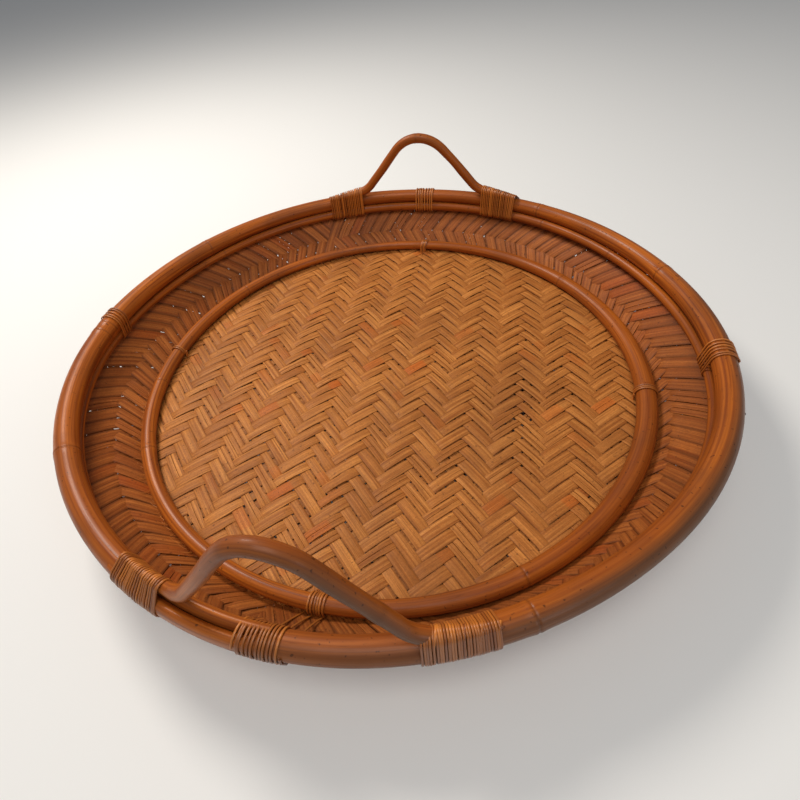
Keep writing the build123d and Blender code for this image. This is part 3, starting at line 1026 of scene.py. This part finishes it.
def ragged_fibres():
    """Frayed fibres where the mat's split ends lap on the wall at the front left and round the ring."""
    strands = Strands()
    fray_random = np.random.default_rng(77)
    for number in range(150):
        crowd = fray_random.random() < 0.65
        turn = math.radians(fray_random.uniform(180, 245) if crowd else fray_random.uniform(0, 360))
        outward, swing = compass(turn)
        start = outward * (RING_RADIUS + fray_random.uniform(5.0, 8.5) * MM)
        start[2] = MAT_Z + fray_random.uniform(1.0, 3.2) * MM
        way = outward + swing * fray_random.uniform(-1.3, 1.3)
        way = way + np.array([0, 0, fray_random.uniform(0.5, 1.1)])
        length = fray_random.uniform(3, 8) * MM
        whisker(strands, start, way, length, 0.4, fray_random.uniform(0.25, 0.8) * MM, 2000 + number)
    return strands.make("frayed_fibres", CANE, [])


# ---------------------------------------------------------------- nail
def nail_piece():
    """Domed nail head and shank in the rim."""
    low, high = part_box("rim_nail")
    turn = math.radians(-13.0)
    outward = compass(turn)[0]
    place = np.array([turn])
    surface = OUTER_RADIUS + (rim_shift(place) + outer_thick(place))[0]
    reach = np.array([-8.0, -1.0, -0.2, 0.15, 0.45, 0.6]) * MM
    radius = np.array([0.6, 0.7, 1.0, 1.0, 0.7, 0.25]) * MM
    path = outward[None] * (surface + reach)[:, None]
    path[:, 2] = (low[2] + high[2]) / 2
    strands = Strands()
    strands.add(path, (0, 0, 1), round_section(16), radius * 2, radius * 2, (0.5, 0, 0))
    return strands.make("rim_nail", NAIL, ["rim_nail"])


# ---------------------------------------------------------------- the tray
mat_set("floor_splits_lengthwise_woven", True, "floor_splits_lengthwise")
mat_set("floor_splits_crosswise_woven", False, "floor_splits_crosswise")
band_set("wall_splits_leaning_left", 1, ["woven_wall_band"])
band_set("wall_splits_leaning_right", -1, ["woven_wall_band"])
rim_pole_piece()
hoop_piece(
    "rim_inner_hoop",
    lambda angles: np.array([rim_sections(angle)[1][0] for angle in angles]),
    lambda angles: np.array([rim_sections(angle)[1][1] for angle in angles]),
    inner_thick, (38, 58, 66, 148, 233, 331), 2.0, no_painted_shade)
hoop_piece(
    # the thin clamping hoop gets the same painted shade on its front and right stretch
    "rim_lower_hoop", lambda angles: LOWER_RADIUS + rim_shift(angles), lambda angles: LOWER_Z,
    lower_thick, (15, 140, 265), 3.0, front_painted_shade)
hoop_piece(
    "floor_ring", lambda angles: RING_RADIUS, lambda angles: RING_Z,
    ring_thick, (44, 150, 192, 214, 305), 4.0, no_painted_shade)
hoop_piece(
    "base_ring", lambda angles: RING_RADIUS, lambda angles: BASE_Z,
    base_thick, (20, 100, 170, 250, 320), 5.0, no_painted_shade, lowest=base_underside)
handle_piece("handle_back", (2 * MM,), 0.0, 21)
# the front handle carries painted shade on its outer side, the back handle none
handle_piece("handle_front", (-14 * MM, 66 * MM), 0.9, 31)
for side in RIM_WRAPS:
    rim_wrap(side)
for side in HANDLE_WRAPS:
    handle_wrap(side)
for side in RING_LASHINGS:
    ring_lashing(side)
ragged_fibres()
nail_piece()


# ---------------------------------------------------------------- floor, light and camera
def stage_floor():
    """Plain pale floor."""
    bpy.ops.mesh.primitive_plane_add(size=12, location=(0, 0, -0.0004))
    floor = bpy.context.object
    floor.name = "pale_floor"
    material = bpy.data.materials.new("pale floor")
    material.use_nodes = True
    shader = material.node_tree.nodes["Principled BSDF"]
    shader.inputs["Base Color"].default_value = (0.86, 0.86, 0.85, 1)
    shader.inputs["Roughness"].default_value = 0.9
    floor.data.materials.append(material)


def area_light(name, place, target, size, power, colour):
    """Soft rectangular lamp aimed at a point."""
    data = bpy.data.lights.new(name, "AREA")
    data.size = size
    data.energy = power
    data.color = colour
    lamp = bpy.data.objects.new(name, data)
    lamp.location = place
    lamp.rotation_euler = (Vector(target) - Vector(place)).to_track_quat("-Z", "Y").to_euler()
    bpy.context.scene.collection.objects.link(lamp)


def lights():
    """Warm key from the back left, soft top light, weak cool fill from the front right, dim room light."""
    data = bpy.data.lights.new("key", "POINT")
    data.shadow_soft_size = 0.2
    data.energy = 34
    data.color = (1.0, 0.93, 0.84)
    lamp = bpy.data.objects.new("key", data)
    lamp.location = (-0.62, 0.38, 0.95)
    bpy.context.scene.collection.objects.link(lamp)
    area_light("top", (0.05, -0.60, 1.4), (0.0, 0.1, 0.0), 0.8, 9.0, (1.0, 0.95, 0.88))
    area_light("fill", (1.3, -1.0, 0.7), (0.0, 0.0, 0.05), 0.6, 3.0, (0.80, 0.90, 1.0))
    world = bpy.data.worlds.new("room")
    world.use_nodes = True
    world.node_tree.nodes["Background"].inputs["Color"].default_value = (0.92, 0.95, 1.0, 1)
    world.node_tree.nodes["Background"].inputs["Strength"].default_value = 0.22
    bpy.context.scene.world = world
    bpy.context.scene.view_settings.view_transform = "Standard"


def camera():
    """Close wide view from the front and a little to the right, looking down at the tray."""
    data = bpy.data.cameras.new("camera")
    data.sensor_width = 36
    data.lens = 22.5
    data.shift_x = 0.0272
    data.shift_y = -0.0089
    view = bpy.data.objects.new("camera", data)
    right = Vector((0.97148, 0.21493, -0.10018)).normalized()
    back = Vector((0.22026, -0.66136, 0.71700)).normalized()
    up = back.cross(right)
    rotation = Matrix((right, up, back)).transposed().to_4x4()
    view.matrix_world = Matrix.Translation((0.08959, -0.30468, 0.31613)) @ rotation
    bpy.context.scene.collection.objects.link(view)
    bpy.context.scene.camera = view


stage_floor()
lights()
camera()
